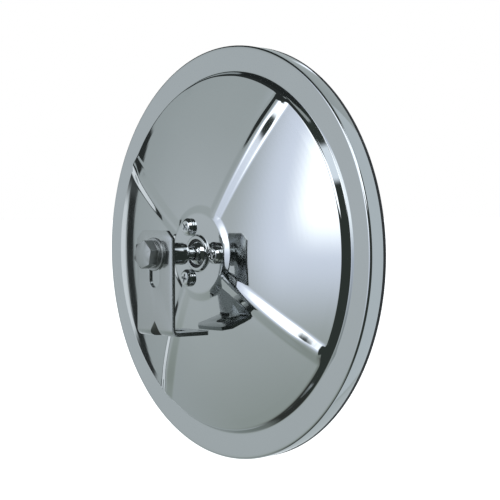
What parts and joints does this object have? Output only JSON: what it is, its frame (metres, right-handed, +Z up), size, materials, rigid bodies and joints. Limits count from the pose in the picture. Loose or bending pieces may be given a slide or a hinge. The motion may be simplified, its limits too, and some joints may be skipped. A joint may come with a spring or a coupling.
{
  "type": "convex mirror",
  "caption": "Round convex mirror head: a polished pressed shell with radial ribs, held by a clamped ball stud on a small slotted L-bracket.",
  "frame": {"origin": "centre of the bracket's fixing hole, on the underside of the bracket's lower leg", "axes": "+Z up along the fixing hole, -Y the way the mirror's face looks, +Y towards the bracket's upright, +X to the left when the mirror is seen from behind"},
  "size_m": [0.216, 0.0754, 0.216],
  "materials": {
    "polished_stainless": "polished pressed stainless steel",
    "bracket_steel": "polished stainless strip",
    "chromed_steel": "bright chromed steel",
    "zinc_steel": "bright zinc-plated steel",
    "plain_steel": "plain pressed steel",
    "nylon": "graphite-filled nylon",
    "foam": "closed-cell foam",
    "silvering": "silvered coating",
    "glass": "clear bent glass",
    "rubber": "black moulded rubber"
  },
  "bodies": {
    "bracket": {"bracket": "bracket_steel"},
    "stud": {"ball_stud": "chromed_steel", "flat_washer": "zinc_steel", "split_lock_washer": "zinc_steel", "hex_bolt": "zinc_steel"},
    "pan_seat": {"ball_seat_rear": "nylon"},
    "tilt_seat": {"ball_seat_front": "nylon"},
    "head": {"back_shell": "polished_stainless", "clamp_plate": "plain_steel", "clamp_screw_1": "chromed_steel", "clamp_screw_2": "chromed_steel", "clamp_screw_3": "chromed_steel", "tooth_washer_1": "zinc_steel", "tooth_washer_2": "zinc_steel", "tooth_washer_3": "zinc_steel", "clamp_nut_1": "zinc_steel", "clamp_nut_2": "zinc_steel", "clamp_nut_3": "zinc_steel", "foam_pad": "foam", "silver_coating": "silvering", "mirror_glass": "glass", "rubber_gasket": "rubber"}
  },
  "joints": [
    {"name": "stud_slide", "type": "slide", "parent": "bracket", "child": "stud", "axis": [0, 0, 1], "range_m": [-0.0127, 0]},
    {"name": "head_pan", "type": "hinge", "parent": "stud", "child": "pan_seat", "pos_m": [0, -0.0173, 0.0412], "axis": [0, 0, 1], "range_deg": [-9, 9]},
    {"name": "head_tilt", "type": "hinge", "parent": "pan_seat", "child": "tilt_seat", "pos_m": [0, -0.0173, 0.0412], "axis": [-1, 0, 0], "range_deg": [-2, 18]},
    {"name": "head_spin", "type": "hinge", "parent": "tilt_seat", "child": "head", "pos_m": [0, -0.0173, 0.0412], "axis": [0, -1, 0], "continuous": true}
  ]
}
